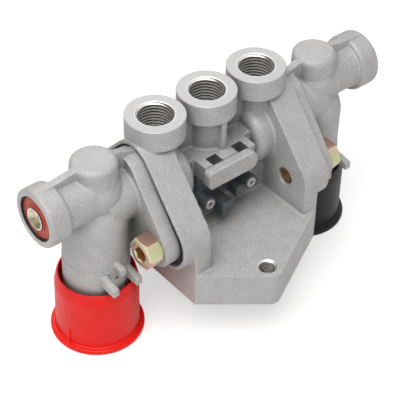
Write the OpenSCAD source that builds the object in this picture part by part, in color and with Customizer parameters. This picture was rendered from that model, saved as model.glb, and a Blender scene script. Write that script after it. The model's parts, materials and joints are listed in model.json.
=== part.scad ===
// Double release valve: a die-cast centre housing with three tapped ports and a mounting shelf,
// and a push-pull spool valve bolted to each side of it, with its knob pointing down.
// Millimetres. The origin is the centre of the middle port's mouth, +Z points out of the port,
// +X runs along the row of ports towards the black knob, and -Y points over the shelf.

/* [Ports] */
// Distance between neighbouring tapped ports
port_pitch = 27; // [25.8:0.2:30]
// Outside diameter of the round collar at each port
port_collar_d = 25.4; // [22:0.2:25.6]
// Height of a port collar
port_collar_h = 10.3; // [8:0.1:13]
// Core diameter of a tapped port
port_core_d = 14.5; // [13:0.1:16]
// Depth of the tapped bore of a port
port_depth = 14; // [11:0.5:17]
// Width of the chamfer at a port's mouth
port_chamfer = 0.95; // [0.4:0.05:1.5]
// Diameter of the neck under a port collar
neck_d = 18; // [17:0.5:21]
// Diameter of the upper air passage
passage_d = 11; // [8:0.5:12]
// Diameter of the lower air passage
low_passage_d = 7; // [5:0.5:8]

/* [Side walls] */
// How far a side wall's inner face stands inside the outer port's axis
wall_inset = 1; // [-1:0.1:2]
// Thickness of a side wall
wall_t = 8; // [6:0.5:10]
// Thickness of the raised pad on the outside of a side wall
pad_t = 6; // [4:0.5:8]
// Radius of the round lobes of a side wall
lobe_r = 13; // [12:0.1:15]
// How much wider than a lobe the round barrel inside a wall is
barrel_swell = 1; // [0.2:0.1:2]
// Edge radius of the round barrel
barrel_edge_r = 4; // [2:0.5:5]
// Depth of the round barrel's axis under the upper passage
wall_barrel_drop = 10.3; // [8:0.1:12]
// Width of the rim round the pocket in a pad
pad_rim = 1.6; // [1:0.1:2.4]
// Depth of the pocket in a pad
pocket_depth = 2; // [1.4:0.1:3]

/* [Valve axis] */
// Distance of the valve axes in front of the ports
valve_offset = 2; // [0:0.5:4]
// Depth of the level upper passage under the port mouths
cross_drop = 21.4; // [20:0.2:25]
// Distance of a flange bolt in front of or behind the valve axis
bolt_reach = 21.3; // [19:0.1:24]
// Depth of the flange bolts under the upper passage
bolt_drop = 23.8; // [22:0.1:27]

/* [Shelf] */
// Thickness of the mounting shelf
shelf_t = 16.5; // [12:0.5:20]
// Gap between the lowest point of the pads and the shelf's top face
shelf_gap = 0.9; // [0.4:0.1:3]
// How far the tip of the shelf reaches past its front corners
shelf_tip = 21.3; // [16:0.1:26]
// Sideways place of the tip
shelf_tip_x = -6.8; // [-12:0.1:12]
// Corner radius of the tip
shelf_tip_r = 4.5; // [3:0.5:8]
// Core diameter of the tapped hole in the shelf
shelf_hole_d = 6.7; // [5:0.1:8.5]
// Distance of the tapped hole behind the tip
shelf_hole_inset = 7.6; // [7:0.1:11]
// Thickness of the walls and ribs under the hollow shelf
shelf_rib = 4; // [3:0.5:6]
// Thickness of the deck over the hollows
shelf_deck = 5; // [4:0.5:8]

/* [Middle block] */
// Width of the block in front of the middle port
block_w = 27; // [25:0.5:30]
// Depth of the block's top under the port mouths
block_drop = 25; // [23:0.2:28]
// Height of the block
block_h = 8.5; // [6:0.1:10]
// Distance of the block's front from the ports
block_reach = 17; // [16:0.1:20]
// Distance of the body's front face from the ports
body_reach = 9; // [8:0.1:10]
// Distance of the body's back face from the ports
body_back = 6; // [4:0.5:10]
// Width of a square window
window_w = 5.5; // [4.5:0.1:6.5]
// Distance of a window's centre from the middle
window_x = 6.8; // [5.5:0.1:9]
// Distance from the body's front face to a window
window_wall = 2.5; // [1.5:0.1:3]
// Length of the cross bar
bar_w = 26.6; // [24:0.2:30]
// Sideways shift of the cross bar's middle
bar_shift = -1.8; // [-3:0.1:0]
// Height of the cross bar
bar_h = 9; // [9:0.1:11]
// Thickness of the cross bar
bar_t = 4.2; // [3:0.1:6]
// Corner radius at the left end of the cross bar
bar_left_r = 2.5; // [1.5:0.1:4]
// Corner radius at the right end of the cross bar
bar_right_r = 4.2; // [1.5:0.1:4.4]
// Thickness of the webs between the necks
web_t = 3; // [2:0.1:5]
// Thickness of the gusset in front of the middle neck
gusset_t = 2.6; // [2:0.1:4]
// Reach of the gusset past the neck
gusset_reach = 3.3; // [2:0.1:4]

/* [Side flanges] */
// Thickness of a valve's flange
flange_t = 7; // [5:0.5:9]
// Gap between a flange's upper lobe and the rim round it
flange_gap = 0.9; // [0.5:0.05:1.2]
// Gap between a flange's lower lobes and the rim round them
low_flange_gap = 2.4; // [1.2:0.1:2.8]
// Thickness of a flange gasket
gasket_t = 1; // [0.5:0.1:1.5]
// Thread diameter of a flange bolt
bolt_d = 8; // [6:0.5:9]
// Width across the flats of a bolt head
bolt_flats = 13; // [11:0.5:14]
// Height of a bolt head
bolt_head_h = 7; // [5:0.5:9]
// Diameter of the recess in a bolt head
bolt_recess_d = 6.6; // [4:0.1:8]
// Depth of the recess in a bolt head
bolt_recess_h = 4; // [2:0.5:5]

/* [Valve body] */
// Outside diameter of the upright valve tube
tube_d = 28; // [26:0.2:30]
// Length of the tube under the upper passage
tube_len = 62.6; // [56:0.2:68]
// Bore of the tube
tube_bore_d = 18; // [17:0.1:19]
// Diameter of the round cap over the tube
cap_d = 19.6; // [18:0.2:23]
// Thickness of the cap over the bore
cap_t = 7.5; // [5:0.1:9]
// Height of the cap's top above the upper passage
cap_rise = 15.9; // [14:0.1:18]
// Edge radius of the cap
cap_edge_r = 2.5; // [1:0.1:4]
// Diameter of the barrel between flange and tube
barrel_d = 25; // [22:0.5:27]
// Depth of the barrel's axis under the upper passage
barrel_drop = 7.1; // [4:0.1:7.4]
// Diameter of the round elbow where cap and arm meet
elbow_d = 23; // [22:0.1:25]
// Depth of the tube's round shoulder under the upper passage
shoulder_drop = 15; // [10:0.2:15.4]
// Thickness of the ribs on top of the valve body
top_rib_t = 3.4; // [2:0.1:4]
// Drop of the inner rib from the cap to the flange
inner_rib_drop = 4.5; // [2:0.1:6]
// Thickness of the two fins and the ramp on the tube
fin_t = 2.8; // [2:0.1:4]
// Distance between the centres of the two fins
fin_gap = 11.8; // [10:0.1:15]
// Reach of the fins from the tube's axis
fin_reach = 21.8; // [20:0.1:24]
// Height of the fins at their tips
fin_h = 3.4; // [3:0.1:5]
// Height of the fins above the knob's rim
fin_rise = 3.2; // [2:0.1:5]
// Height of the ramp's tip above the bottom of the fins
ramp_rise = 5.9; // [5.2:0.1:9]
// Reach of the ramp from the tube's axis
ramp_reach = 19; // [17:0.1:21]
// Diameter of the small vent hole between the fins
vent_d = 1.8; // [1.2:0.1:2.4]

/* [Outlet arm] */
// Length of the arm from the tube's axis to its end face
arm_len = 29; // [26:0.5:34]
// Diameter of the arm
arm_d = 21; // [18:0.2:24]
// Diameter of the end collar
end_collar_d = 25.6; // [23:0.2:29]
// Length of the end collar
end_collar_len = 9.8; // [8:0.1:13]
// Edge radius of the end collar
end_edge_r = 1.4; // [0.6:0.1:2]
// Diameter of the outlet
outlet_d = 19.8; // [17:0.1:21]
// Depth of the outlet
outlet_depth = 8.5; // [7:0.1:10]
// Bore of the arm behind the outlet
arm_bore_d = 13; // [10:0.5:14]

/* [Outlet flap] */
// Thickness of the perforated seat
seat_t = 4.8; // [4:0.1:5]
// Diameter of the air holes in the seat
seat_hole_d = 2.6; // [1.5:0.1:3]
// Thickness of the rubber flap
flap_t = 2.2; // [1.8:0.1:2.4]
// Radial gap between the flap and the outlet's wall
flap_gap = 0.4; // [0.2:0.05:0.8]
// Diameter of the boss on the flap
flap_boss_d = 10.4; // [9:0.1:12]
// Height of the boss on the flap
flap_boss_h = 1.1; // [0.6:0.1:1.2]
// Diameter of the rivet's cup
rivet_cup_d = 9; // [7:0.1:9.6]
// Height of the cup's rim over the boss
rivet_cup_h = 0.35; // [0.2:0.05:0.5]
// Shank diameter of the rivet
rivet_d = 5; // [4:0.1:6]
// Wall of the hollow rivet
rivet_wall = 0.7; // [0.5:0.05:1]
// Width of the outlet's retaining ring
outlet_ring_w = 0.6; // [0.4:0.05:1]
// Thickness of the outlet's retaining ring
outlet_ring_t = 0.9; // [0.6:0.05:1.2]

/* [Knob] */
// Height of a knob
knob_h = 32.6; // [30:0.2:36]
// Outside diameter of a knob's body
knob_d = 35.8; // [34:0.2:38]
// Outside diameter of the lip at a knob's closed end
knob_lip_d = 40.4; // [38.5:0.2:44]
// Thickness of the lip
knob_lip_t = 2.5; // [1.5:0.1:4]
// Radius under the lip
knob_lip_r = 1.4; // [0.6:0.1:2]
// Wall thickness of a knob
knob_wall = 1.9; // [1.4:0.1:2.4]
// Height of the bevel at a knob's rim
knob_bevel_h = 4.9; // [3:0.1:7]
// Inset of the bevel at a knob's rim
knob_bevel = 0.7; // [0.3:0.1:1]
// Thickness of a knob's floor
knob_floor = 3; // [2:0.1:4]
// Height of the hub inside a knob
knob_hub_h = 9.8; // [8:0.1:12]
// Diameter of the hub inside a knob
knob_hub_d = 14; // [13:0.2:17]
// Height of the small ribs between lip and body
knob_rib_h = 8; // [5:0.5:12]
// Thickness of the small ribs
knob_rib_t = 1.3; // [0.8:0.1:2]
// Turn of the small ribs towards the front, in degrees
knob_rib_angle = 12; // [0:1:40]
// Travel of a knob from pushed in to pulled out
travel = 13; // [10:0.5:16]

/* [Stem] */
// Diameter of the stem's rod
rod_d = 10; // [8:0.2:11]
// Depth of the rod's socket in the knob
rod_socket = 7; // [5:0.1:9]
// Radial gap between a land on the stem and the tube's bore
land_gap = 0.4; // [0.2:0.05:0.8]
// Length of a land
land_len = 6; // [4.5:0.1:7]
// Diameter of the stem between its lands
waist_d = 10.6; // [9:0.1:12]
// Thickness of a sealing ring
seal_t = 2; // [1.4:0.1:2.4]
// Distance of the sleeve's sealing ring from the sleeve's end
sleeve_seal_inset = 3; // [2:0.1:4]
// Length of the guide sleeve
sleeve_len = 16; // [12:0.5:19]
// Thread diameter of a knob screw
screw_d = 4; // [3:0.5:5]
// Head diameter of a knob screw
screw_head_d = 8; // [6:0.5:9]
// Head height of a knob screw
screw_head_h = 2.4; // [1.8:0.1:3]
// Depth of a knob screw's head under the knob's end face
screw_inset = 0.8; // [0.3:0.1:1.2]
// Length of a knob screw's shank
screw_len = 8; // [6:0.5:10]

/* [Clip insert] */
// Thickness of the insert's plate
insert_plate_t = 2.4; // [1.6:0.1:3]
// Height of the insert's plate
insert_plate_h = 16; // [12:0.5:20]
// Distance between the two bosses of the insert
boss_pitch = 23; // [20:0.2:26]
// Diameter of a boss of the insert
boss_d = 6.4; // [5.4:0.1:7]
// Reach of the bosses from the body's front face
boss_len = 9; // [6:0.2:11]
// Depth of the bosses under the block
boss_drop = 11; // [9:0.2:14]
// Width of the larger latch block
latch_w = 5.8; // [5:0.1:7]
// Height of the larger latch block
latch_h = 6.6; // [5:0.1:8]
// Reach of the larger latch block from the body's front face
latch_reach = 11.4; // [9:0.1:13]
// Place of the larger latch block's left side
latch_x = -6.4; // [-7:0.1:-5]
// Width of the smaller latch block
small_latch_w = 4.6; // [3.6:0.1:5]
// Height of the smaller latch block
small_latch_h = 5; // [4:0.1:6]
// Reach of the smaller latch block from the body's front face
small_latch_reach = 8.4; // [6:0.1:10]
// Place of the smaller latch block's left side
small_latch_x = 3.6; // [2:0.1:4]
// Depth of the larger latch block's top under the block
latch_drop = 12.3; // [11:0.1:13]
// Height of a snap hook's foot
hook_foot_h = 3; // [2:0.1:4]
// How far a snap hook reaches up into its window
hook_reach = 2; // [1:0.1:5]
// Outside diameter of a metal bush
bush_d = 4.8; // [4:0.1:5.2]
// Bore of a metal bush
bush_bore_d = 2; // [1:0.1:2.6]

/* [Clearances] */
// Radial running clearance of sliding parts
run_gap = 0.05; // [0.02:0.01:0.08]
// Radial clearance of pieces that are pressed or screwed in
fit_gap = 0.02; // [0.01:0.01:0.05]
// Radial clearance of a bolt in its flange
bolt_gap = 0.4; // [0.2:0.05:0.8]
// Gap left at the end stops
stop_gap = 0.3; // [0.2:0.05:0.6]

/* [Hidden] */
$fn = 64;
ease = 0.01;
small_fn = 24;

// Levels, from the port mouths down
cross_z = -cross_drop;
bolt_z = cross_z - bolt_drop;
barrel_z = cross_z - barrel_drop;
shoulder_z = cross_z - shoulder_drop;
shelf_top = bolt_z - lobe_r - shelf_gap;
shelf_bottom = shelf_top - shelf_t;
block_top = -block_drop;
block_bottom = block_top - block_h;
wall_barrel_z = cross_z - wall_barrel_drop;
joint_z = min(cross_z - lobe_r, block_bottom) - 1.5;
tube_end = cross_z - tube_len;
cap_top = cross_z + cap_rise;

// Places along X, measured from the middle
wall_in = port_pitch - wall_inset;
wall_out = wall_in + wall_t;
pad_face = wall_out + pad_t;
wall_barrel_in = port_pitch - neck_d / 2 - 1;
pocket_floor = pad_face - pocket_depth;
flange_in = pocket_floor + gasket_t;
flange_face = flange_in + flange_t;
tube_merge = 0.6;
tube_x = flange_face + tube_d / 2 - tube_merge;
end_face = tube_x + arm_len;
outlet_floor = end_face - outlet_depth;

// How far ribs and fins reach into what carries them, and how far their tops lie under its edge
rib_bite = 3;
rib_sink = 0.2;

// Places along Y
valve_y = -valve_offset;
lobe_front = valve_y - bolt_reach;
lobe_back = valve_y + bolt_reach;
housing_front = lobe_front - lobe_r;
housing_back = lobe_back + lobe_r;
tip_y = housing_front - shelf_tip;
hole_y = tip_y + shelf_hole_inset;
body_front = -body_reach;
block_front = -block_reach;
window_y = body_front - window_wall - window_w / 2;

// The upper passage narrows in the valve, so that the barrel keeps its wall over it
valve_passage_d = passage_d - 3;

// Outline radii of the parts that share the three-lobed flange shape
pocket_r = lobe_r - pad_rim;
flange_r = pocket_r - flange_gap;
low_flange_r = pocket_r - low_flange_gap;
gasket_r = pocket_r - 0.5;

// How far the corners of a bolt head are turned down, and how far inside its flats that ends
bolt_turn_h = 1.4;
bolt_turn = 0.3;

// Outlet flap, from the floor of the outlet outwards
seat_face = outlet_floor + seat_t;
flap_face = seat_face + flap_t;
outlet_ring_r = outlet_d / 2 - fit_gap;
flap_r = outlet_d / 2 - flap_gap;
cone_start = flap_t / 2;
cup_top = flap_t + flap_boss_h + rivet_cup_h;
rivet_tail = 0.8;
rivet_flare = 0.9;

// Knob, stem and guide, with the knob pushed in
hub_top = tube_end - stop_gap;
knob_inner_floor = hub_top - knob_hub_h;
knob_bottom = knob_inner_floor - knob_floor;
knob_rim = knob_bottom + knob_h;
fin_z = knob_rim + fin_rise;
screw_seat = knob_bottom + screw_head_h + screw_inset;
rod_end = hub_top - rod_socket;
knob_edge_r = 0.8;
knob_rib_root = 0.5;
knob_rib_inset = 0.3;
screw_hex_d = screw_d * 0.9;
screw_hex_h = screw_head_h * 0.6;
clip_t = 1;
clip_bite = 0.7;
clip_opening = 4;
clip_z = tube_end + 1.4;
sleeve_bottom = clip_z + clip_t;
sleeve_top = sleeve_bottom + sleeve_len;
bore_top = cap_top - cap_t;
spool_bottom = sleeve_top + travel + stop_gap;
spool_top = bore_top - stop_gap;
land_d = tube_bore_d - 2 * land_gap;
seal_groove = seal_t + 0.3;
seal_inner = tube_bore_d / 2 - run_gap - seal_t;
land_starts = [spool_bottom, (spool_bottom + spool_top - land_len) / 2, spool_top - land_len];
detent_z = sleeve_bottom + sleeve_len / 2;
detent_t = 1.2;
detent_r = rod_d / 2 + run_gap + detent_t / 2;
sleeve_seal_t = 1.6;
sleeve_seal_z = sleeve_top - sleeve_seal_inset;

// Insert under the block
plate_top = block_bottom - stop_gap;
boss_z = block_bottom - boss_drop;
plate_front = body_front - insert_plate_t;
boss_front = body_front - boss_len;
bush_rise = 0.4;
hook_gap = 0.7;

// Helpers

function unit(v) = v / norm(v);
function side_normal(a, b) = unit([b[1] - a[1], a[0] - b[0]]);

// Centres of the three lobes in the plane of a flange, as [y, z]
function lobes() = [[valve_y, cross_z], [lobe_front, bolt_z], [lobe_back, bolt_z]];

// Points of an arc that rounds the corner at v between neighbours a and b
function corner_arc(a, v, b, r, steps = 8) =
    let (
        to_a = unit(a - v),
        to_b = unit(b - v),
        half = acos(to_a * to_b) / 2,
        centre = v + unit(to_a + to_b) * r / sin(half),
        start = v + to_a * r / tan(half) - centre,
        finish = v + to_b * r / tan(half) - centre,
        first = atan2(start[1], start[0]),
        turn = atan2(start[0] * finish[1] - start[1] * finish[0], start * finish)
    )
    [for (i = [0 : steps]) centre + r * [cos(first + turn * i / steps), sin(first + turn * i / steps)]];

// Closed outline whose corners are rounded by the radii in radii, where 0 keeps a sharp corner
function rounded(points, radii) =
    let (n = len(points))
    [for (i = [0 : n - 1])
        each (radii[i] > 0
            ? corner_arc(points[(i + n - 1) % n], points[i], points[(i + 1) % n], radii[i])
            : [points[i]])];

// Extrudes a [y, z] outline along X from x0 over a length
module along_x(x0, length) {
    translate([x0, 0, 0]) rotate([90, 0, 90]) linear_extrude(length) children();
}

// Cylinder along X at a place given as [y, z]
module x_cylinder(x0, x1, place, d) {
    translate([x0, place[0], place[1]]) rotate([0, 90, 0]) cylinder(h = x1 - x0, d = d);
}

// Solid of revolution about a line along X at a place given as [y, z]
module x_revolve(x0, place) {
    translate([x0, place[0], place[1]]) rotate([0, 90, 0]) rotate_extrude() children();
}

// Flat plate outline with three round lobes joined by straight sides, where low_r is the radius of
// the two lower lobes
module lobed_outline(r, low_r) {
    c = lobes();
    radii = [r, low_r, low_r];
    for (i = [0 : 2]) translate(c[i]) circle(radii[i]);
    polygon([for (i = [0 : 2])
        let (
            k = (i + 1) % 3,
            along = c[k] - c[i],
            lean = asin((radii[i] - radii[k]) / norm(along)),
            out = side_normal(c[i], c[k]) * cos(lean) + unit(along) * sin(lean)
        )
        each [c[i] + (radii[i] - ease) * out, c[k] + (radii[k] - ease) * out]]);
}

// Places its children on the valve's upright axis, on the +X side
module on_tube_axis() {
    translate([tube_x, valve_y, 0]) children();
}

// Centre housing

module port_collars() {
    for (i = [-1 : 1]) translate([i * port_pitch, 0, 0]) {
        translate([0, 0, -port_collar_h]) cylinder(h = port_collar_h, d = port_collar_d);
        translate([0, 0, block_top]) cylinder(h = block_drop - port_collar_h + ease, d = neck_d);
    }
}

module side_wall() {
    along_x(wall_in, wall_t + pad_t) lobed_outline(lobe_r, lobe_r);
    translate([wall_in, housing_front, shelf_top])
        cube([wall_t, housing_back - housing_front, bolt_z - shelf_top]);
    wall_barrel(wall_in - wall_barrel_in + ease);
}

// Round barrel on the inner side of a wall
module wall_barrel(length) {
    radius = lobe_r + barrel_swell;
    x_revolve(wall_barrel_in, [valve_y, wall_barrel_z])
        polygon(rounded([[0, 0], [radius, 0], [radius, length], [0, length]], [0, barrel_edge_r, 0, 0]));
}

module shelf_outline() {
    corners = [[wall_out, housing_back], [-wall_out, housing_back], [-wall_out, housing_front],
        [shelf_tip_x, tip_y], [wall_out, housing_front]];
    polygon(rounded(corners, [0, 0, 0, shelf_tip_r, 0]));
}

// Hollows that core out the thick shelf from below, one row in front and one behind the body
module shelf_hollows() {
    depth = shelf_t - shelf_deck;
    cells = 3;
    inner_w = 2 * wall_out - 2 * shelf_rib;
    cell_w = (inner_w - (cells - 1) * shelf_rib) / cells;
    rows = [[housing_front + shelf_rib, body_front - shelf_rib / 2], [body_back, housing_back - shelf_rib]];
    for (row = rows) for (i = [0 : cells - 1])
        translate([-inner_w / 2 + i * (cell_w + shelf_rib), row[0], shelf_bottom - ease])
            cube([cell_w, row[1] - row[0], depth + ease]);
}

module middle_block() {
    // Body between the walls, which carries the lower passage
    translate([-wall_in - ease, body_front, shelf_top])
        cube([2 * (wall_in + ease), body_reach + body_back, block_top - shelf_top]);
    // Web between the necks
    translate([-port_pitch, -web_t / 2, block_top - ease])
        cube([2 * port_pitch, web_t, block_drop - port_collar_h + 2 * ease]);
    // Block with the windows
    translate([-block_w / 2, block_front, block_bottom])
        cube([block_w, block_reach - body_reach + ease, block_h]);
    // Cross bar
    bar_x = bar_w / 2;
    bar_points = [[-bar_x, 0], [bar_x, 0], [bar_x, bar_h], [-bar_x, bar_h]];
    bar_radii = [bar_left_r, bar_right_r, bar_right_r, bar_left_r];
    translate([bar_shift, block_front, block_bottom]) rotate([90, 0, 0])
        linear_extrude(bar_t) polygon(rounded(bar_points, bar_radii));
    // Gusset in front of the middle neck
    gusset_front = neck_d / 2 + gusset_reach;
    translate([-gusset_t / 2, -gusset_front, block_top - ease])
        cube([gusset_t, gusset_front, block_drop - port_collar_h + 2 * ease]);
}

module port_bore(depth) {
    translate([0, 0, -port_depth]) cylinder(h = port_depth + ease, d = port_core_d);
    translate([0, 0, -port_chamfer])
        cylinder(h = port_chamfer + ease, d1 = port_core_d, d2 = port_core_d + 2 * port_chamfer);
    translate([0, 0, -depth]) cylinder(h = depth - port_depth + ease, d = passage_d);
}

// Casting above the shelf
module casting() {
    difference() {
        union() {
            port_collars();
            side_wall();
            mirror([1, 0, 0]) side_wall();
            middle_block();
        }
        for (i = [-1, 1]) translate([i * port_pitch, 0, 0]) port_bore(cross_drop);
        port_bore(-bolt_z);
        for (s = [0, 1]) mirror([s, 0, 0]) {
            // Pocket for the flange and its gasket
            along_x(pocket_floor, pocket_depth + 1) lobed_outline(pocket_r, pocket_r);
            x_cylinder(port_pitch, pad_face, [valve_y, cross_z], passage_d);
            for (y = [lobe_front, lobe_back])
                x_cylinder(wall_in - 1, pad_face, [y, bolt_z], bolt_d + 2 * fit_gap);
            translate([window_x - window_w / 2, window_y - window_w / 2, block_bottom - 1])
                cube([window_w, window_w, block_h + 2]);
        }
        x_cylinder(-pad_face, pad_face, [valve_y, bolt_z], low_passage_d);
    }
}

// The casting is drawn as five pieces that meet at flat joints: its upper part with the ports, the
// middle wall and the two side walls under it, and the shelf
module casting_between(x0, x1, z0, z1) {
    color("silver") intersection() {
        casting();
        translate([x0, housing_front - 1, z0])
            cube([x1 - x0, housing_back - housing_front + 2, z1 - z0]);
    }
}

module centre_housing() {
    casting_between(-pad_face - 1, pad_face + 1, joint_z, 1);
}

module middle_wall() {
    color("silver") difference() {
        union() {
            translate([-wall_in, body_front, shelf_top])
                cube([2 * wall_in, body_reach + body_back, joint_z - shelf_top]);
            // Lower parts of the round barrels
            intersection() {
                for (s = [0, 1]) mirror([s, 0, 0]) wall_barrel(wall_in - wall_barrel_in);
                translate([-wall_in, housing_front, shelf_top])
                    cube([2 * wall_in, housing_back - housing_front, joint_z - shelf_top]);
            }
        }
        port_bore(-bolt_z);
        x_cylinder(-pad_face, pad_face, [valve_y, bolt_z], low_passage_d);
    }
}

module lower_side_wall() {
    casting_between(wall_in, pad_face + 1, shelf_top, joint_z);
}

module mounting_shelf() {
    color("silver") difference() {
        translate([0, 0, shelf_bottom]) linear_extrude(shelf_t) shelf_outline();
        translate([shelf_tip_x, hole_y, shelf_bottom - 1]) cylinder(h = shelf_t + 2, d = shelf_hole_d);
        shelf_hollows();
    }
}

// Plastic insert that snaps into the windows from below

module clip_insert() {
    color("slategray") difference() {
        union() {
            translate([-block_w / 2, plate_front, plate_top - insert_plate_h])
                cube([block_w, insert_plate_t, insert_plate_h]);
            for (s = [-1, 1]) {
                translate([s * boss_pitch / 2, body_front, boss_z]) rotate([90, 0, 0])
                    cylinder(h = boss_len, d = boss_d);
                // Snap hooks that reach up into the windows
                hook_w = window_w - 2 * hook_gap;
                hook_foot_z = plate_top - hook_foot_h - 1;
                translate([s * window_x - hook_w / 2, window_y - hook_w / 2, hook_foot_z]) {
                    cube([hook_w, hook_w / 2, block_bottom + hook_reach - hook_foot_z]);
                    cube([hook_w, body_front - window_y + hook_w / 2, hook_foot_h]);
                }
            }
            latch_blocks();
        }
        for (s = [-1, 1]) translate([s * boss_pitch / 2, boss_front - 1, boss_z]) rotate([-90, 0, 0])
            cylinder(h = boss_len - 1, d = bush_d + 2 * fit_gap);
    }
}

// The two blocks in the middle of the insert, rounded on top
module latch_blocks() {
    small_latch_drop = latch_drop - 1.5;
    block_shape(latch_x, latch_w, latch_reach, block_bottom - latch_drop, latch_h);
    block_shape(small_latch_x, small_latch_w, small_latch_reach, block_bottom - small_latch_drop,
        small_latch_h);
}

module block_shape(x0, width, reach, z_top, height) {
    outline = [[0, 0], [width, 0], [width, -height], [0, -height]];
    translate([x0, body_front, z_top]) rotate([90, 0, 0])
        linear_extrude(reach) polygon(rounded(outline, [width / 5, width / 5, width / 10, width / 10]));
}

module insert_bushes() {
    color("lightgray") for (s = [-1, 1])
        translate([s * boss_pitch / 2, boss_front - bush_rise, boss_z]) rotate([-90, 0, 0]) difference() {
            cylinder(h = boss_len - 2, d = bush_d);
            translate([0, 0, -1]) cylinder(h = boss_len, d = bush_bore_d);
        }
}

// Parts on each side, drawn on the +X side

module gasket() {
    color("black") difference() {
        along_x(pocket_floor, gasket_t) lobed_outline(gasket_r, gasket_r);
        x_cylinder(pocket_floor - 1, flange_in + 1, [valve_y, cross_z], passage_d + 1);
        x_cylinder(pocket_floor - 1, flange_in + 1, [valve_y, bolt_z], low_passage_d + 1);
        for (y = [lobe_front, lobe_back])
            x_cylinder(pocket_floor - 1, flange_in + 1, [y, bolt_z], bolt_d + 2 * bolt_gap);
    }
}

module valve_shell() {
    along_x(flange_in, flange_t) lobed_outline(flange_r, low_flange_r);
    on_tube_axis() {
        // Tube with a round shoulder, and the elbow that joins cap and arm over it
        translate([0, 0, tube_end]) cylinder(h = shoulder_z - tube_end, d = tube_d);
        translate([0, 0, shoulder_z]) sphere(d = tube_d);
        translate([0, 0, cross_z]) sphere(d = elbow_d);
        // Cap with a round edge
        cap_h = cap_top - cross_z;
        translate([0, 0, cross_z]) rotate_extrude()
            polygon(rounded([[0, 0], [cap_d / 2, 0], [cap_d / 2, cap_h], [0, cap_h]],
                [0, 0, cap_edge_r, 0]));
        fins();
    }
    x_cylinder(flange_in, tube_x, [valve_y, barrel_z], barrel_d);
    x_cylinder(tube_x, end_face - end_collar_len + ease, [valve_y, cross_z], arm_d);
    x_revolve(end_face - end_collar_len, [valve_y, cross_z]) polygon(rounded(
        [[0, 0], [end_collar_d / 2, 0], [end_collar_d / 2, end_collar_len], [0, end_collar_len]],
        [0, end_edge_r, end_edge_r, 0]));
    top_ribs();
}

// Ribs along the top: one slopes from the cap down to the flange, one runs out to the end collar
module top_ribs() {
    rib_top = cap_top - cap_edge_r * 0.15;
    rib_end = end_face - end_edge_r;
    collar_top = cross_z + end_collar_d / 2;
    cap_in = tube_x - cap_d / 2 + cap_edge_r;
    cap_out = tube_x + cap_d / 2 - cap_edge_r;
    translate([0, valve_y + top_rib_t / 2, 0]) rotate([90, 0, 0]) linear_extrude(top_rib_t) polygon([
        [flange_in, cross_z], [flange_in, rib_top - inner_rib_drop], [cap_in, rib_top], [cap_out, rib_top],
        [rib_end, collar_top - rib_sink], [rib_end, cross_z]]);
}

// Two fins side by side and a ramp above them, on the front of the tube
module fins() {
    root = -tube_d / 2 + rib_bite;
    fin_slope = 1.8;
    for (s = [-1, 1]) translate([s * fin_gap / 2 - fin_t / 2, 0, fin_z])
        rotate([90, 0, 90]) linear_extrude(fin_t)
        polygon([[root, 0], [-fin_reach, 0], [-fin_reach, fin_h], [root, fin_h + fin_slope]]);
    translate([-fin_t / 2, 0, fin_z + ramp_rise]) rotate([90, 0, 90]) linear_extrude(fin_t)
        polygon([[root, 1], [-ramp_reach, 0], [-ramp_reach, fin_h], [root, fin_h + fin_slope]]);
}

module valve_body() {
    color("silver") difference() {
        valve_shell();
        on_tube_axis() {
            translate([0, 0, tube_end - 1]) cylinder(h = bore_top - tube_end + 1, d = tube_bore_d);
            translate([0, 0, clip_z]) cylinder(h = clip_t, d = tube_bore_d + 2 * clip_bite + 0.2);
            translate([0, 0, fin_z + fin_h / 2]) rotate([90, 0, 0]) cylinder(h = tube_d, d = vent_d);
        }
        x_cylinder(flange_in - 1, tube_x, [valve_y, cross_z], valve_passage_d);
        x_cylinder(flange_in - 1, tube_x, [valve_y, bolt_z], low_passage_d);
        x_cylinder(tube_x, outlet_floor + ease, [valve_y, cross_z], arm_bore_d);
        x_cylinder(outlet_floor, end_face + 1, [valve_y, cross_z], outlet_d);
        for (y = [lobe_front, lobe_back])
            x_cylinder(flange_in - 1, flange_face + 1, [y, bolt_z], bolt_d + 2 * bolt_gap);
    }
}

module flange_bolts() {
    shank_len = flange_face - wall_in - 1;
    color("khaki") for (y = [lobe_front, lobe_back]) translate([flange_face, y, bolt_z]) rotate([0, 90, 0])
        difference() {
            union() {
                bolt_head();
                translate([0, 0, -shank_len]) cylinder(h = shank_len + ease, d = bolt_d);
            }
            translate([0, 0, bolt_head_h - bolt_recess_h])
                cylinder(h = bolt_recess_h + 1, d = bolt_recess_d);
        }
}

// Six-sided head whose corners are turned off by a cone
module bolt_head() {
    corner_d = bolt_flats / cos(30);
    intersection() {
        rotate([0, 0, 30]) cylinder(h = bolt_head_h, d = corner_d, $fn = 6);
        rotate_extrude() polygon([[0, 0], [corner_d / 2 + 1, 0],
            [corner_d / 2 + 1, bolt_head_h - bolt_turn_h],
            [bolt_flats / 2 - bolt_turn, bolt_head_h], [0, bolt_head_h]]);
    }
}

module outlet_seat() {
    hole_ring_r = (arm_bore_d + rivet_d) / 4 + 0.2;
    color("dimgray") difference() {
        x_cylinder(outlet_floor, seat_face, [valve_y, cross_z], outlet_d - 2 * fit_gap);
        x_cylinder(outlet_floor - 1, seat_face + 1, [valve_y, cross_z], rivet_d + 2 * fit_gap);
        for (i = [0 : 5]) translate([outlet_floor - 1, valve_y, cross_z]) rotate([i * 60, 0, 0])
            translate([0, hole_ring_r, 0]) rotate([0, 90, 0])
            cylinder(h = seat_t + 2, d = seat_hole_d, $fn = small_fn);
    }
}

// Radius of the rivet's cone at a height over the seat, the same in the flap and on the rivet
function cone_r(h) = rivet_d / 2 + (h - cone_start) * (rivet_cup_d - rivet_d) / 2 / (cup_top - cone_start);

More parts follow.
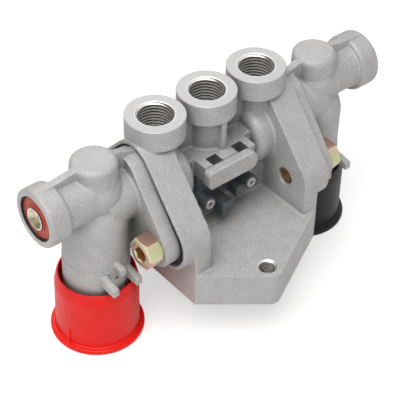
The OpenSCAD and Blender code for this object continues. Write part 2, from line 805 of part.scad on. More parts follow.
module outlet_flap() {
    boss_h = flap_t + flap_boss_h;
    hole_r = rivet_d / 2 + fit_gap;
    color("firebrick") x_revolve(seat_face, [valve_y, cross_z]) polygon([
        [hole_r, 0], [flap_r, 0], [flap_r, flap_t], [flap_boss_d / 2, flap_t], [flap_boss_d / 2, boss_h],
        [cone_r(boss_h) + fit_gap, boss_h], [hole_r, cone_start]]);
}

// Hollow rivet with an open cup outside and a flared end inside
module outlet_rivet() {
    tail_r = rivet_d / 2 + rivet_flare;
    color("khaki") x_revolve(seat_face, [valve_y, cross_z]) polygon([
        [rivet_d / 2 - rivet_wall, -seat_t - rivet_tail], [tail_r, -seat_t - rivet_tail], [tail_r, -seat_t],
        [rivet_d / 2, -seat_t], [rivet_d / 2, cone_start], [rivet_cup_d / 2, cup_top],
        [rivet_cup_d / 2 - rivet_wall, cup_top], [rivet_d / 2 - rivet_wall, cone_start]]);
}

module outlet_ring() {
    color("black") x_revolve(flap_face + 0.1, [valve_y, cross_z])
        translate([outlet_ring_r - outlet_ring_w, 0]) square([outlet_ring_w, outlet_ring_t]);
}

module guide_sleeve() {
    color("ivory") on_tube_axis() difference() {
        translate([0, 0, sleeve_bottom]) cylinder(h = sleeve_len, d = tube_bore_d - 2 * fit_gap);
        translate([0, 0, sleeve_bottom - 1]) cylinder(h = sleeve_len + 2, d = rod_d + 2 * run_gap);
        translate([0, 0, detent_z - detent_t / 2 - 0.1])
            cylinder(h = detent_t + 0.2, r = detent_r + detent_t / 2 + 0.1);
        translate([0, 0, sleeve_seal_z]) rotate_extrude()
            translate([tube_bore_d / 2 - sleeve_seal_t - 0.1, -sleeve_seal_t / 2 - 0.1])
            square([sleeve_seal_t + 1, sleeve_seal_t + 0.2]);
    }
}

module sleeve_seal() {
    color("black") on_tube_axis() translate([0, 0, sleeve_seal_z])
        ring((tube_bore_d - sleeve_seal_t) / 2 - run_gap, sleeve_seal_t);
}

module detent_ring() {
    color("gray") on_tube_axis() translate([0, 0, detent_z]) ring(detent_r, detent_t);
}

module ring(r, section) {
    rotate_extrude() translate([r, 0]) circle(d = section, $fn = small_fn);
}

// Open ring that holds the guide sleeve in the tube
module retaining_clip() {
    color("dimgray") on_tube_axis() translate([0, 0, clip_z]) difference() {
        cylinder(h = clip_t - ease, d = tube_bore_d + 2 * clip_bite);
        translate([0, 0, -1]) cylinder(h = clip_t + 2, d = tube_bore_d - 4 * clip_bite);
        translate([0, -clip_opening / 2, -1]) cube([tube_bore_d, clip_opening, clip_t + 2]);
    }
}

module stem() {
    color("tan") on_tube_axis() difference() {
        union() {
            translate([0, 0, rod_end]) cylinder(h = spool_bottom - rod_end + ease, d = rod_d);
            translate([0, 0, spool_bottom]) cylinder(h = spool_top - spool_bottom, d = waist_d);
            for (z = land_starts) translate([0, 0, z]) cylinder(h = land_len, d = land_d);
        }
        for (z = land_starts) translate([0, 0, z + (land_len - seal_groove) / 2]) difference() {
            cylinder(h = seal_groove, d = land_d + 2);
            translate([0, 0, -1]) cylinder(h = seal_groove + 2, r = seal_inner - fit_gap);
        }
        translate([0, 0, rod_end - 1]) cylinder(h = screw_len + 2, d = screw_d + 2 * fit_gap);
    }
}

module stem_seals() {
    color("black") on_tube_axis() for (z = land_starts) translate([0, 0, z + land_len / 2])
        ring(seal_inner + seal_t / 2, seal_t);
}

module knob_profile() {
    r = knob_d / 2;
    lip_r = knob_lip_d / 2;
    inner = r - knob_wall;
    polygon([
        [0, 0], each corner_arc([0, 0], [lip_r, 0], [lip_r, knob_lip_t], knob_edge_r, 4),
        each corner_arc([lip_r, 0], [lip_r, knob_lip_t], [r, knob_lip_t], knob_edge_r, 4),
        each corner_arc([lip_r, knob_lip_t], [r, knob_lip_t], [r, knob_h], knob_lip_r, 6),
        [r, knob_h - knob_bevel_h], [r - knob_bevel, knob_h], [inner, knob_h],
        [inner, knob_floor], [0, knob_floor]]);
}

module knob() {
    on_tube_axis() difference() {
        union() {
            translate([0, 0, knob_bottom]) rotate_extrude() knob_profile();
            translate([0, 0, knob_inner_floor - ease]) cylinder(h = knob_hub_h + ease, d = knob_hub_d);
            // Small ribs between the lip and the body, one at each side
            for (turn = [-knob_rib_angle, 180 + knob_rib_angle]) rotate([0, 0, turn])
                translate([knob_d / 2 - knob_rib_root, knob_rib_t / 2,
                    knob_bottom + knob_lip_t - knob_rib_root])
                rotate([90, 0, 0]) linear_extrude(knob_rib_t) polygon([[0, 0],
                    [(knob_lip_d - knob_d) / 2 - knob_rib_inset, 0],
                    [knob_rib_root + rib_sink, knob_rib_h], [0, knob_rib_h]]);
        }
        translate([0, 0, rod_end]) cylinder(h = rod_socket + 1, d = rod_d + 2 * fit_gap);
        translate([0, 0, knob_bottom - 1]) cylinder(h = screw_seat - knob_bottom + 1, d = screw_head_d + 1);
        translate([0, 0, knob_bottom]) cylinder(h = knob_h / 2, d = screw_d + 2 * fit_gap);
    }
}

module knob_screw() {
    color("gray") on_tube_axis() difference() {
        union() {
            translate([0, 0, screw_seat - screw_head_h]) cylinder(h = screw_head_h, d = screw_head_d);
            translate([0, 0, screw_seat - ease]) cylinder(h = screw_len, d = screw_d);
        }
        translate([0, 0, screw_seat - screw_head_h - 1])
            cylinder(h = screw_hex_h + 1, d = screw_hex_d, $fn = 6);
    }
}

module left() {
    mirror([1, 0, 0]) children();
}

centre_housing();
middle_wall();
left() lower_side_wall();  // left_side_wall
lower_side_wall();  // right_side_wall
mounting_shelf();
clip_insert();
insert_bushes();

left() gasket();  // left_gasket
left() valve_body();  // left_valve_body
left() flange_bolts();  // left_flange_bolts
left() outlet_seat();  // left_outlet_seat
left() outlet_flap();  // left_outlet_flap
left() outlet_rivet();  // left_outlet_rivet
left() outlet_ring();  // left_outlet_ring
left() guide_sleeve();  // left_guide_sleeve
left() sleeve_seal();  // left_sleeve_seal
left() detent_ring();  // left_detent_ring
left() retaining_clip();  // left_retaining_clip
left() stem();  // left_stem
left() stem_seals();  // left_stem_seals
left() color("red") knob();  // left_knob
left() knob_screw();  // left_knob_screw

gasket();  // right_gasket
valve_body();  // right_valve_body
flange_bolts();  // right_flange_bolts
outlet_seat();  // right_outlet_seat
outlet_flap();  // right_outlet_flap
outlet_rivet();  // right_outlet_rivet
outlet_ring();  // right_outlet_ring
guide_sleeve();  // right_guide_sleeve
sleeve_seal();  // right_sleeve_seal
detent_ring();  // right_detent_ring
retaining_clip();  // right_retaining_clip
stem();  // right_stem
stem_seals();  // right_stem_seals
color("#202020") knob();  // right_knob
knob_screw();  // right_knob_screw
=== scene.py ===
import json
import math

import bpy
import numpy as np
from mathutils import Matrix, Vector


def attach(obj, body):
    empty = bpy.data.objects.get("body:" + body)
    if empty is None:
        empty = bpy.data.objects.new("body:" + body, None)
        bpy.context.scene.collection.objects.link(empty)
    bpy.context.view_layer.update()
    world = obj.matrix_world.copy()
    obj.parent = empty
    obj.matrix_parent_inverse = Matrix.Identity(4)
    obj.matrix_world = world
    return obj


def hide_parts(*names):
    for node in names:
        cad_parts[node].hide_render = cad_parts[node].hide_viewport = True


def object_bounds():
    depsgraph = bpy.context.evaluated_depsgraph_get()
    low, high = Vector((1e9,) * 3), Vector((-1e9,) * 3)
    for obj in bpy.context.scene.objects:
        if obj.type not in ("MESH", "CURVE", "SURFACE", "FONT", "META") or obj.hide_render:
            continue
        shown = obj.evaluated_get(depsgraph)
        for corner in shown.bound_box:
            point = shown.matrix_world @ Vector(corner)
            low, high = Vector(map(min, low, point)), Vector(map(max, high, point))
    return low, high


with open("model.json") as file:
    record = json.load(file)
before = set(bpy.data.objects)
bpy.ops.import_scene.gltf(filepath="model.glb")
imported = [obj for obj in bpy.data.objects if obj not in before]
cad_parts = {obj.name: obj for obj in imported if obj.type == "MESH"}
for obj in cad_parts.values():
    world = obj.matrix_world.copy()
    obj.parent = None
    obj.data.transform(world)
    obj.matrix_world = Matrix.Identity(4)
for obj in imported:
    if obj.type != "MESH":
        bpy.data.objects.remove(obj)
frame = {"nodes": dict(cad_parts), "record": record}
nodes = frame["nodes"]
mm = 0.001
portPitch = 27
cadLow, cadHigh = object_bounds()
print("frame loaded, nodes:", len(nodes))


# selection and modifiers

def deselectAll():
    for obj in bpy.context.selected_objects:
        obj.select_set(False)


def activate(obj):
    deselectAll()
    obj.select_set(True)
    bpy.context.view_layer.objects.active = obj


deselectAll()


def applyModifier(obj, kind, **settings):
    activate(obj)
    mod = obj.modifiers.new(kind.lower(), kind)
    for key, value in settings.items():
        setattr(mod, key, value)
    bpy.ops.object.modifier_apply(modifier=mod.name)


def editAll(obj, *steps):
    # runs edit-mode steps with everything selected
    activate(obj)
    bpy.ops.object.mode_set(mode="EDIT")
    bpy.ops.mesh.select_all(action="SELECT")
    for step in steps:
        step()
    bpy.ops.object.mode_set(mode="OBJECT")


def outward():
    bpy.ops.mesh.normals_make_consistent(inside=False)


def mergeClose(distance=0.002):
    bpy.ops.mesh.remove_doubles(threshold=distance * mm)


def paint(obj, *materials):
    obj.data.materials.clear()
    for material in materials:
        obj.data.materials.append(material)


def joined(first, *others):
    deselectAll()
    for obj in (first, *others):
        obj.select_set(True)
    bpy.context.view_layer.objects.active = first
    bpy.ops.object.join()
    return first


def cut(obj, cutter, operation="DIFFERENCE"):
    applyModifier(obj, "BOOLEAN", object=cutter, operation=operation, solver="EXACT", material_mode="TRANSFER")
    bpy.data.objects.remove(cutter)


def finishPiece(obj, body, replaced=(), angle=35):
    activate(obj)
    bpy.ops.object.shade_smooth_by_angle(angle=math.radians(angle))
    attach(obj, body)
    if replaced:
        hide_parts(*replaced)
    print("piece", obj.name, len(obj.data.polygons))


# shapes from a profile, in millimetres

def roundedPath(points, radii, steps=4, closed=True):
    # rounds the corners of a path by the given radii
    out = []
    count = len(points)
    for i, (point, radius) in enumerate(zip(points, radii)):
        here = Vector(point)
        if radius <= 0 or (not closed and i in (0, count - 1)):
            out.append(here)
            continue
        toPrev = (Vector(points[i - 1]) - here)
        toNext = (Vector(points[(i + 1) % count]) - here)
        half = toPrev.angle(toNext) / 2
        reach = min(radius / math.tan(half), toPrev.length * 0.49, toNext.length * 0.49)
        start = here + toPrev.normalized() * reach
        end = here + toNext.normalized() * reach
        for k in range(steps + 1):
            t = k / steps
            out.append(start * (1 - t) ** 2 + here * (2 * t * (1 - t)) + end * t ** 2)
    return out


def outlineMesh(name, points):
    # closed loop of edges through the points, in millimetres
    deselectAll()
    bpy.ops.mesh.primitive_circle_add(vertices=len(points), radius=1)
    obj = bpy.context.active_object
    obj.name = name
    obj.data.name = name
    flat = [c * mm for p in points for c in (p if len(p) == 3 else (p[0], p[1], 0))]
    obj.data.vertices.foreach_set("co", flat)
    obj.data.update()
    return obj


def lathe(name, profile, radii=None, segments=96, steps=4):
    # turns a closed (radius, height) profile round +Z; a profile on the axis closes itself
    path = roundedPath(profile, radii, steps) if radii else [Vector(p) for p in profile]
    obj = outlineMesh(name, [(p[0], 0, p[1]) for p in path])
    applyModifier(obj, "SCREW", axis="Z", angle=2 * math.pi, steps=segments, render_steps=segments,
                  use_merge_vertices=True, merge_threshold=0.001 * mm)
    editAll(obj, mergeClose, bpy.ops.mesh.delete_loose, lambda: bpy.ops.mesh.select_all(action="SELECT"), outward)
    return obj


def box(name, low, high):
    deselectAll()
    bpy.ops.mesh.primitive_cube_add(size=1)
    obj = bpy.context.active_object
    obj.name = name
    low, high = Vector(low) * mm, Vector(high) * mm
    size = high - low
    obj.data.transform(Matrix.Translation((low + high) / 2) @ Matrix.Diagonal((*size, 1)))
    return obj


def prism(name, points, height, base=0):
    # extrudes a closed outline along +Z
    obj = outlineMesh(name, [(p[0], p[1], base) for p in points])
    editAll(obj, bpy.ops.mesh.edge_face_add,
            lambda: bpy.ops.mesh.extrude_region_move(TRANSFORM_OT_translate={"value": (0, 0, height * mm)}),
            lambda: bpy.ops.mesh.select_all(action="SELECT"), outward)
    return obj


def place(obj, matrix):
    obj.data.transform(matrix)
    obj.data.update()
    return obj


def alongX(x, y, z):
    # +Z of a shape turns to +X, at a place in millimetres
    return Matrix.Translation(Vector((x, y, z)) * mm) @ Matrix.Rotation(math.pi / 2, 4, "Y")


def at(x, y, z):
    return Matrix.Translation(Vector((x, y, z)) * mm)


def facingFront(x, y, z):
    # +Z of a shape turns to -Y
    return at(x, y, z) @ Matrix.Rotation(math.pi / 2, 4, "X")


def mirrored(obj, name):
    # a copy on the other side of the middle plane
    activate(obj)
    bpy.ops.object.duplicate()
    twin = bpy.context.active_object
    twin.name = name
    twin.data.name = name
    editAll(twin, lambda: bpy.ops.transform.resize(value=(-1, 1, 1), center_override=(0, 0, 0)),
            bpy.ops.mesh.flip_normals, outward)
    return twin


def skinOf(node, name):
    # a free copy of a CAD node's mesh
    activate(nodes[node])
    bpy.ops.object.duplicate()
    obj = bpy.context.active_object
    obj.name = name
    obj.data.name = name
    obj.parent = None
    for key in list(obj.keys()):
        del obj[key]
    obj.data.materials.clear()
    editAll(obj, mergeClose, outward)
    return obj


# materials

def newMaterial(name):
    material = bpy.data.materials.new(name)
    material.use_nodes = True
    tree = material.node_tree
    tree.nodes.clear()
    out = tree.nodes.new("ShaderNodeOutputMaterial")
    shader = tree.nodes.new("ShaderNodeBsdfPrincipled")
    tree.links.new(shader.outputs["BSDF"], out.inputs["Surface"])
    return material, tree, shader


def objectSpace(tree):
    return tree.nodes.new("ShaderNodeTexCoord").outputs["Object"]


def noise(tree, space, size, detail=3.0, roughness=0.55, distortion=0.0):
    # grain of the given size in millimetres
    node = tree.nodes.new("ShaderNodeTexNoise")
    node.inputs["Scale"].default_value = 1 / (size * mm)
    node.inputs["Detail"].default_value = detail
    node.inputs["Roughness"].default_value = roughness
    node.inputs["Distortion"].default_value = distortion
    tree.links.new(space, node.inputs["Vector"])
    return node.outputs["Fac"]


def ramp(tree, fac, stops):
    node = tree.nodes.new("ShaderNodeValToRGB")
    elements = node.color_ramp.elements
    while len(elements) < len(stops):
        elements.new(0.5)
    for element, (position, color) in zip(elements, stops):
        element.position = position
        element.color = (*color, 1)
    tree.links.new(fac, node.inputs["Fac"])
    return node.outputs["Color"]


def ranged(tree, fac, low, high, fromLow=0.3, fromHigh=0.7):
    node = tree.nodes.new("ShaderNodeMapRange")
    for key, value in zip(("From Min", "From Max", "To Min", "To Max"), (fromLow, fromHigh, low, high)):
        node.inputs[key].default_value = value
    tree.links.new(fac, node.inputs["Value"])
    return node.outputs["Result"]


def bump(tree, height, depth, strength=1.0, base=None):
    # depth in millimetres
    node = tree.nodes.new("ShaderNodeBump")
    node.inputs["Strength"].default_value = strength
    node.inputs["Distance"].default_value = depth * mm
    tree.links.new(height, node.inputs["Height"])
    if base is not None:
        tree.links.new(base, node.inputs["Normal"])
    return node.outputs["Normal"]


def math2(tree, operation, a, b=None):
    node = tree.nodes.new("ShaderNodeMath")
    node.operation = operation
    for socket, value in zip(node.inputs, (a, b)):
        if value is None:
            continue
        if isinstance(value, (int, float)):
            socket.default_value = value
        else:
            tree.links.new(value, socket)
    return node.outputs["Value"]


castLook = {
    "dark": (0.37, 0.36, 0.352), "pale": (0.57, 0.565, 0.56),
    "metallic": 0.08, "roughLow": 0.42, "roughHigh": 0.58,
    "grain": 0.55, "grainDepth": 0.05, "grainShare": 0.75, "cloud": 6.0, "skin": 2.5, "skinDepth": 0.06,
    # painted shade in the casting's recesses: how far the occlusion test reaches in millimetres, and the darkest share
    "recess": 16, "recessPaintedShade": 0.42,
}


def paintedRecessShade(tree, color, reach, dark):
    # paints shade into recesses: the colour is darkened where an occlusion test finds other surfaces near
    node = tree.nodes.new("ShaderNodeAmbientOcclusion")
    node.samples = 6
    node.inputs["Distance"].default_value = reach * mm
    shade = tree.nodes.new("ShaderNodeMix")
    shade.data_type = "RGBA"
    shade.blend_type = "MULTIPLY"
    shade.inputs["Factor"].default_value = 1
    openness = ranged(tree, node.outputs["AO"], dark, 1, 0.15, 0.8)
    tree.links.new(color, shade.inputs["A"])
    tree.links.new(openness, shade.inputs["B"])
    return shade.outputs["Result"]


def castAluminium():
    material, tree, shader = newMaterial("castAluminium")
    space = objectSpace(tree)
    fine = noise(tree, space, castLook["grain"], 4, 0.6)
    cloud = noise(tree, space, castLook["cloud"], 4, 0.6)
    share = castLook["grainShare"]
    mixed = math2(tree, "ADD", math2(tree, "MULTIPLY", fine, share), math2(tree, "MULTIPLY", cloud, 1 - share))
    color = ramp(tree, mixed, [(0.34, castLook["dark"]), (0.66, castLook["pale"])])
    # painted shade darkens the casting's colour in its recesses
    shaded = paintedRecessShade(tree, color, castLook["recess"], castLook["recessPaintedShade"])
    tree.links.new(shaded, shader.inputs["Base Color"])
    tree.links.new(ranged(tree, fine, castLook["roughLow"], castLook["roughHigh"]), shader.inputs["Roughness"])
    shader.inputs["Metallic"].default_value = castLook["metallic"]
    soft = bump(tree, noise(tree, space, castLook["skin"], 2, 0.5), castLook["skinDepth"], 0.5)
    tree.links.new(bump(tree, fine, castLook["grainDepth"], 0.7, soft), shader.inputs["Normal"])
    return material


machinedLook = {
    "dark": (0.49, 0.487, 0.485), "pale": (0.55, 0.547, 0.545), "metallic": 0.3, "rough": (0.46, 0.56),
    "ringPitch": 0.7, "ringDepth": 0.003,
}


def machinedAluminium():
    # turned faces with fine rings round each port
    material, tree, shader = newMaterial("machinedAluminium")
    space = objectSpace(tree)
    split = tree.nodes.new("ShaderNodeSeparateXYZ")
    tree.links.new(space, split.inputs[0])
    x, y = split.outputs[0], split.outputs[1]
    pitch = portPitch * mm
    x = math2(tree, "FLOORED_MODULO", math2(tree, "ADD", x, pitch / 2), pitch)
    x = math2(tree, "SUBTRACT", x, pitch / 2)
    radius = math2(tree, "SQRT", math2(tree, "ADD", math2(tree, "MULTIPLY", x, x), math2(tree, "MULTIPLY", y, y)))
    rings = math2(tree, "SINE", math2(tree, "MULTIPLY", radius, 2 * math.pi / (machinedLook["ringPitch"] * mm)))
    grain = noise(tree, space, 0.6, 3)
    color = ramp(tree, grain, [(0.35, machinedLook["dark"]), (0.65, machinedLook["pale"])])
    tree.links.new(color, shader.inputs["Base Color"])
    shader.inputs["Metallic"].default_value = machinedLook["metallic"]
    tree.links.new(ranged(tree, rings, *machinedLook["rough"], -1, 1), shader.inputs["Roughness"])
    tree.links.new(bump(tree, rings, machinedLook["ringDepth"], 0.4), shader.inputs["Normal"])
    return material


def speckled(name, dark, pale, grain, rough, metallic=0.0, depth=0.02, strength=0.4, specular=0.5):
    # a plain stuff with a fine grain in colour, roughness and surface
    material, tree, shader = newMaterial(name)
    space = objectSpace(tree)
    fine = noise(tree, space, grain, 3)
    color = ramp(tree, noise(tree, space, grain * 8, 3), [(0.35, dark), (0.65, pale)])
    tree.links.new(color, shader.inputs["Base Color"])
    tree.links.new(ranged(tree, fine, *rough), shader.inputs["Roughness"])
    shader.inputs["Metallic"].default_value = metallic
    shader.inputs["Specular IOR Level"].default_value = specular
    tree.links.new(bump(tree, fine, depth, strength), shader.inputs["Normal"])
    return material


# colours of the plating film, from faces that look down to faces that look up: chosen by facing, they are partly the
# film's own hues and partly painted sheen and shade
zincFilmAndSheen = [
    (0.10, (0.50, 0.30, 0.24)), (0.28, (0.92, 0.64, 0.58)), (0.47, (0.50, 0.33, 0.26)), (0.60, (0.98, 0.78, 0.62)),
    (0.70, (0.86, 0.93, 0.48)), (0.80, (0.98, 0.72, 0.62)), (0.92, (0.42, 0.25, 0.20)),
]


def yellowZinc(name, stops, size=6.0, rough=0.36, paintedFacingLight=0.45, patch=0.2, metallic=0.6, recess=None):
    # plated steel: the share for facing is how far a face's direction turns the colour, which paints light and shade by
    # facing; patch is how far its place does
    material, tree, shader = newMaterial(name)
    space = objectSpace(tree)
    patches = noise(tree, space, size, 1.0, 0.5, 0.4)
    split = tree.nodes.new("ShaderNodeSeparateXYZ")
    tree.links.new(tree.nodes.new("ShaderNodeTexCoord").outputs["Normal"], split.inputs[0])
    tone = math2(tree, "ADD", math2(tree, "MULTIPLY", math2(tree, "SUBTRACT", patches, 0.5), patch),
                 math2(tree, "MULTIPLY", split.outputs[2], paintedFacingLight))
    tone = math2(tree, "ADD", tone, 0.5)
    color = ramp(tree, tone, stops)
    # painted shade down in hollows, when asked for
    if recess:
        color = paintedRecessShade(tree, color, *recess)
    tree.links.new(color, shader.inputs["Base Color"])
    shader.inputs["Metallic"].default_value = metallic
    tree.links.new(ranged(tree, patches, rough - 0.03, rough + 0.03), shader.inputs["Roughness"])
    return material


cast = castAluminium()
machined = machinedAluminium()
# one thread metal in a dark copy for the grooves, as painted shade, and a bright copy for the crests, as painted
# highlight
grooveShadeMetal = speckled("grooveShadeMetal", (0.09, 0.082, 0.074), (0.13, 0.12, 0.11), 0.8, (0.26, 0.34), 0.4,
                       depth=0.001, strength=0.1)
crestHighlightMetal = speckled("crestHighlightMetal", (0.84, 0.82, 0.80), (0.90, 0.885, 0.87), 0.8, (0.34, 0.42), 0.55,
                      depth=0.001, strength=0.1)
# cast aluminium painted dark, as painted shade inside the windows
deepCast = speckled("deepCast", (0.10, 0.098, 0.095), (0.15, 0.147, 0.143), 0.55, (0.5, 0.6))
redPlastic = speckled("redPlastic", (0.80, 0.009, 0.005), (0.86, 0.012, 0.008), 0.9, (0.30, 0.38),
                      depth=0.006, strength=0.25, specular=0.3)
blackPlastic = speckled("blackPlastic", (0.010, 0.010, 0.011), (0.017, 0.017, 0.018), 0.9, (0.32, 0.42),
                        depth=0.006, strength=0.25, specular=0.3)
insertPlastic = speckled("insertPlastic", (0.060, 0.072, 0.078), (0.085, 0.100, 0.108), 0.5, (0.28, 0.40), depth=0.01)
gasketRubber = speckled("gasketRubber", (0.012, 0.012, 0.012), (0.025, 0.025, 0.024), 0.3, (0.65, 0.8))
flapRubber = speckled("flapRubber", (0.46, 0.062, 0.036), (0.56, 0.085, 0.05), 0.35, (0.42, 0.55), depth=0.012)
seatPlastic = speckled("seatPlastic", (0.10, 0.03, 0.02), (0.14, 0.05, 0.03), 0.4, (0.5, 0.65))
sealRubber = speckled("sealRubber", (0.014, 0.014, 0.014), (0.03, 0.03, 0.03), 0.4, (0.45, 0.6))
sleevePlastic = speckled("sleevePlastic", (0.50, 0.47, 0.38), (0.58, 0.55, 0.46), 0.6, (0.4, 0.55))
springSteel = speckled("springSteel", (0.30, 0.30, 0.31), (0.40, 0.40, 0.41), 0.5, (0.25, 0.4), 0.95)
spoolMetal = speckled("spoolMetal", (0.55, 0.54, 0.50), (0.64, 0.63, 0.59), 0.5, (0.22, 0.35), 0.9)
blackSteel = speckled("blackSteel", (0.02, 0.02, 0.02), (0.04, 0.04, 0.04), 0.4, (0.35, 0.5), 0.6)
zincSteel = speckled("zincSteel", (0.50, 0.51, 0.52), (0.62, 0.63, 0.64), 0.6, (0.25, 0.4), 0.95)
bushMetal = speckled("bushMetal", (0.50, 0.48, 0.46), (0.62, 0.60, 0.58), 0.35, (0.3, 0.45), 0.7)
boltZinc = yellowZinc("yellowZinc", zincFilmAndSheen)
# the socket's colour has painted shade down in the hex recess and, by facing, painted light and shade
boltSocket = yellowZinc("boltSocket", [(0.2, (0.34, 0.15, 0.03)), (0.5, (0.66, 0.32, 0.08)), (0.8, (0.42, 0.22, 0.05))],
                        size=5, rough=0.34, paintedFacingLight=0.35, recess=(4, 0.45))
# the cup's colour has painted shade down in its hollow and, by facing, painted light and shade
cupZinc = yellowZinc("cupZinc", [(0.2, (0.46, 0.40, 0.24)), (0.5, (0.80, 0.76, 0.56)), (0.8, (0.40, 0.35, 0.20))],
                     size=4.0, rough=0.32, paintedFacingLight=0.4, metallic=0.75, recess=(3.2, 0.16))
# near-white zinc, a painted highlight on the rivet cup's rim
rimHighlightZinc = speckled("rimHighlightZinc", (0.84, 0.88, 0.84), (0.90, 0.94, 0.90), 0.8, (0.34, 0.42), 0.4)
# zinc painted dark brown, as painted shade on the bolt's end down in the wall hole, with a random tone
holeShadeZinc = yellowZinc("holeShadeZinc", [(0.2, (0.08, 0.035, 0.015)), (0.5, (0.22, 0.095, 0.035)), (0.8, (0.34, 0.16, 0.06))],
                      size=1.6, rough=0.45, paintedFacingLight=0, patch=1.6, metallic=0.3)

slotMaterial = {
    "cast_aluminium": cast, "yellow_zinc_steel": boltZinc, "gasket_rubber": gasketRubber, "seat_plastic": seatPlastic,
    "flap_rubber": flapRubber, "black_steel": blackSteel, "sleeve_plastic": sleevePlastic, "seal_rubber": sealRubber,
    "spring_steel": springSteel, "spool_metal": spoolMetal, "zinc_steel": zincSteel, "insert_plastic": insertPlastic,
    "bush_metal": bushMetal, "red_plastic": redPlastic, "black_plastic": blackPlastic,
}
for part in frame["record"]["subparts"]:
    paint(nodes[part["node"]], slotMaterial[part["material_slot"]])
print("materials made")


# castings

def meshArrays(obj):
    mesh = obj.data
    count = len(mesh.vertices)
    co = np.empty(count * 3, np.float32)
    mesh.vertices.foreach_get("co", co)
    normal = np.empty(count * 3, np.float32)
    mesh.vertex_normals.foreach_get("vector", normal)
    edges = np.empty(len(mesh.edges) * 2, np.int32)
    mesh.edges.foreach_get("vertices", edges)
    return co.reshape(-1, 3), normal.reshape(-1, 3), edges.reshape(-1, 2)


def softenHollows(obj, voxel, reach, rounds, allow, bend=0.045, levels=8):
    # widens the fillets: smooths only near inner corners, found where the skin bends in by a share of a voxel
    co, normal, edges = meshArrays(obj)
    degree = np.bincount(edges.ravel(), minlength=len(co)).astype(np.float32)
    total = np.zeros_like(co)
    for axis in range(3):
        total[:, axis] = (np.bincount(edges[:, 0], co[edges[:, 1], axis], len(co))
                          + np.bincount(edges[:, 1], co[edges[:, 0], axis], len(co)))
    hollow = (((total / degree[:, None] - co) * normal).sum(1) > voxel * mm * bend) & allow(co / mm)
    weight = hollow.astype(np.float32)
    spread = max(1, int(reach / voxel))
    for step in range(spread):
        near = weight.copy()
        np.maximum.at(near, edges[:, 0], weight[edges[:, 1]] - 1 / spread)
        np.maximum.at(near, edges[:, 1], weight[edges[:, 0]] - 1 / spread)
        weight = near
    group = obj.vertex_groups.new(name="hollows")
    shares = np.clip(np.round(weight * levels), 0, levels).astype(int)
    for level in range(1, levels + 1):
        members = np.nonzero(shares == level)[0]
        if len(members):
            group.add(members.tolist(), level / levels, "REPLACE")
    applyModifier(obj, "SMOOTH", factor=0.5, iterations=rounds, vertex_group="hollows")
    obj.vertex_groups.clear()


def castSkin(obj, look, allow):
    # allow says, from places in millimetres, where fillets may be widened
    applyModifier(obj, "REMESH", mode="VOXEL", voxel_size=look["voxel"] * mm)
    applyModifier(obj, "SMOOTH", factor=0.5, iterations=look["edgeRounds"])
    softenHollows(obj, look["voxel"], look["filletReach"], look["filletRounds"], allow)
    applyModifier(obj, "SMOOTH", factor=0.5, iterations=2)
    before = len(obj.data.polygons)
    share = min(1, look["faces"] / (2 * before))
    applyModifier(obj, "DECIMATE", ratio=share)
    print("skin", obj.name, before, "->", len(obj.data.polygons))


portLook = {
    "faceR": 12.7, "edge": 0.22, "cutR": 13.4, "cutTop": 2, "passageR": 5.5, "passageEnd": -24,
    "linerR": 8.35, "minorR": 7.25, "majorR": 8.0, "pitch": 1.5, "depth": 14, "mouthR": 8.2,
    "plugR": 8.9, "plugLow": -15.5, "plugStep": -2, "plugTop": 0.7,
}
shelfHole = {
    "x": -6.8, "y": -50.0, "top": -59.1, "bottom": -75.6, "linerR": 4.25, "minorR": 3.35, "majorR": 4.0,
    "pitch": 1.25, "mouthR": 4.15, "plugR": 4.6, "cutLow": -78, "cutHigh": -57,
}
crossHoles = {"x": 37, "y": -2, "air": (-21.4, 5.7), "pilot": (-45.2, 3.7)}
windowLook = {"x": 6.8, "y": -14.25, "w": 5.5, "top": -25, "bottom": -33.5, "plugGap": 0.3, "through": 2}
seamLook = {"low": (-13.2, -17.35, -25.5), "high": (11.2, -17.05, -24)}
castingLook = {"voxel": 0.4, "edgeRounds": 2, "filletReach": 0.9, "filletRounds": 10, "faces": 170000}


def openPath(name, points):
    # line of edges through the points, in millimetres
    obj = outlineMesh(name, points)
    activate(obj)
    bpy.ops.object.mode_set(mode="EDIT")
    bpy.ops.mesh.select_mode(type="EDGE")
    bpy.ops.mesh.select_all(action="DESELECT")
    bpy.ops.object.mode_set(mode="OBJECT")
    ends = {0, len(points) - 1}
    for edge in obj.data.edges:
        edge.select = set(edge.vertices) == ends
    bpy.ops.object.mode_set(mode="EDIT")
    bpy.ops.mesh.delete(type="EDGE")
    bpy.ops.mesh.select_mode(type="VERT")
    bpy.ops.object.mode_set(mode="OBJECT")
    return obj


def threadRod(name, coreR, majorR, pitch, low, high, flat=0.10):
    # closed solid with the ridges that leave a tapped groove behind; flat is the ridge's top, as a share of the pitch
    flank = (majorR - coreR) * math.tan(math.radians(30))
    crest = pitch - 2 * flank - pitch * flat
    turns = int((high - low) / pitch) + 1
    path = [(coreR, 0), (coreR, crest), (majorR, crest + flank), (majorR, pitch - flank), (coreR, pitch)]
    obj = openPath(name, [(r, 0, z + low) for r, z in path])
    applyModifier(obj, "SCREW", axis="Z", angle=2 * math.pi, screw_offset=pitch * mm, iterations=turns,
                  steps=72, render_steps=72, use_merge_vertices=False)
    editAll(obj, mergeClose, lambda: bpy.ops.mesh.fill_holes(sides=0), lambda: bpy.ops.mesh.select_all(action="SELECT"),
            bpy.ops.mesh.quads_convert_to_tris, outward)
    return obj


def threadedLiner(name, look, top, depth):
    # ring with a chamfered mouth and a tapped bore; the ring's faces take the bright copy of the metal as painted
    # highlight, the grooves cut by the rod the dark copy as painted shade
    r, minor, mouth = look["linerR"], look["minorR"], look["mouthR"]
    ring = lathe(name, [(r, top), (r, top - depth), (minor, top - depth), (minor, top - (mouth - minor)), (mouth, top)])
    rod = threadRod(name + "Rod", minor - 0.12, look["majorR"], look["pitch"], top - depth + 0.6, top + 1.5)
    paint(ring, crestHighlightMetal)
    paint(rod, grooveShadeMetal)
    cut(ring, rod)
    return ring


print("helpers ready")

